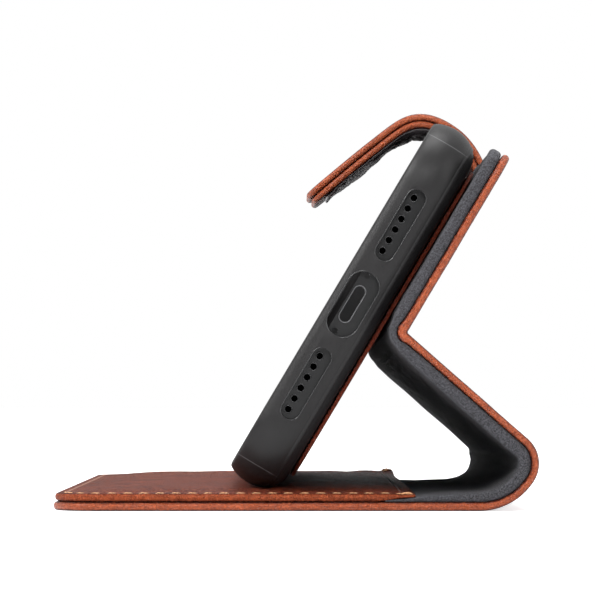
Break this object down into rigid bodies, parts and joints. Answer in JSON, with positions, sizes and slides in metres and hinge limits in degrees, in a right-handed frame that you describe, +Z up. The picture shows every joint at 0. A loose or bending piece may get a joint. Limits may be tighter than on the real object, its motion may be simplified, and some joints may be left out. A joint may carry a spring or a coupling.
{
  "type": "phone wallet case",
  "caption": "Leather phone wallet case folded into a desk stand, with a card pocket, closing strap and a lift-off matte shell held by magnets.",
  "frame": {"origin": "middle of the standing case's bounding box, on the table plane", "axes": "+X from the front cover's free edge to the spine, +Y along the spine away from the shell's connector end, +Z up"},
  "size_m": [0.0939, 0.158, 0.0816],
  "materials": {
    "leather_cognac": "smooth aniline cognac leather, fine grain, satin",
    "leather_pocket": "smooth cognac leather with cream stitching, satin",
    "lining_charcoal": "napped microfibre with a lighter fuzzy edge",
    "shell_matte": "fine matte moulded plastic",
    "liner_black": "smooth black moulded liner",
    "button_plastic": "satin moulded plastic",
    "steel_plate": "thin rolled sheet",
    "magnet": "nickel plated",
    "stiffener_board": "grey stiffener board",
    "strap_lining": "thin crinkled dark film"
  },
  "bodies": {
    "front_cover": {"front_cover_leather": "leather_cognac", "front_cover_board": "stiffener_board", "closure_plate": "steel_plate", "pocket_panel": "leather_pocket", "cover_lining": "lining_charcoal"},
    "spine": {"spine_leather": "leather_cognac", "spine_lining": "lining_charcoal"},
    "lower_back": {"lower_back_leather": "leather_cognac", "lower_back_board": "stiffener_board", "lower_back_lining": "lining_charcoal", "lower_magnet_near": "magnet", "lower_magnet_far": "magnet"},
    "upper_back": {"upper_back_leather": "leather_cognac", "upper_back_board": "stiffener_board", "upper_back_lining": "lining_charcoal", "upper_magnet_near": "magnet", "upper_magnet_mid": "magnet"},
    "strap_root": {"strap_root_outer": "leather_cognac", "strap_root_inner": "leather_cognac"},
    "strap_tab": {"strap_tab_outer": "leather_cognac", "strap_tab_inner": "leather_cognac", "strap_tab_lining": "strap_lining", "strap_magnet": "magnet"},
    "phone_shell": {"shell_tray": "shell_matte", "shell_liner": "liner_black", "shell_leather_back": "leather_cognac", "shell_steel_plate": "steel_plate", "shell_floor_pad": "lining_charcoal", "camera_ring": "button_plastic"},
    "power_button": {"power_button": "button_plastic"},
    "volume_up_button": {"volume_up_button": "button_plastic"},
    "volume_down_button": {"volume_down_button": "button_plastic"}
  },
  "joints": [
    {"name": "cover_spine_crease", "type": "hinge", "parent": "front_cover", "child": "spine", "pos_m": [0.04114, 0, 0.00149], "axis": [0, 1, 0], "range_deg": [0, 64]},
    {"name": "spine_back_crease", "type": "hinge", "parent": "spine", "child": "lower_back", "pos_m": [0.04669, 0, 0.00992], "axis": [0, 1, 0], "range_deg": [0, 64]},
    {"name": "back_fold", "type": "hinge", "parent": "lower_back", "child": "upper_back", "pos_m": [0.02035, 0, 0.03395], "axis": [0, 1, 0], "range_deg": [-79.4, 0]},
    {"name": "strap_lift", "type": "hinge", "parent": "upper_back", "child": "strap_root", "pos_m": [0.0405, 0, 0.0693], "axis": [0, 1, 0], "range_deg": [-4, 60]},
    {"name": "strap_unroll", "type": "hinge", "parent": "strap_root", "child": "strap_tab", "pos_m": [0.0253, 0, 0.0816], "axis": [0, 1, 0], "range_deg": [-4, 75]},
    {"name": "shell_slide_off", "type": "slide", "parent": "upper_back", "child": "phone_shell", "axis": [0, 1, 0], "range_m": [0, 0.16]},
    {"name": "power_button_press", "type": "slide", "parent": "phone_shell", "child": "power_button", "axis": [-0.512, 0, -0.859], "range_m": [0, 0.0005], "stiffness_N_per_m": 600},
    {"name": "volume_up_button_press", "type": "slide", "parent": "phone_shell", "child": "volume_up_button", "axis": [0.512, 0, 0.859], "range_m": [0, 0.0005], "stiffness_N_per_m": 600},
    {"name": "volume_down_button_press", "type": "slide", "parent": "phone_shell", "child": "volume_down_button", "axis": [0.512, 0, 0.859], "range_m": [0, 0.0005], "stiffness_N_per_m": 600}
  ],
  "couplings": [
    {"joint": "back_fold", "follows": "spine_back_crease", "ratio": -1.24}
  ]
}
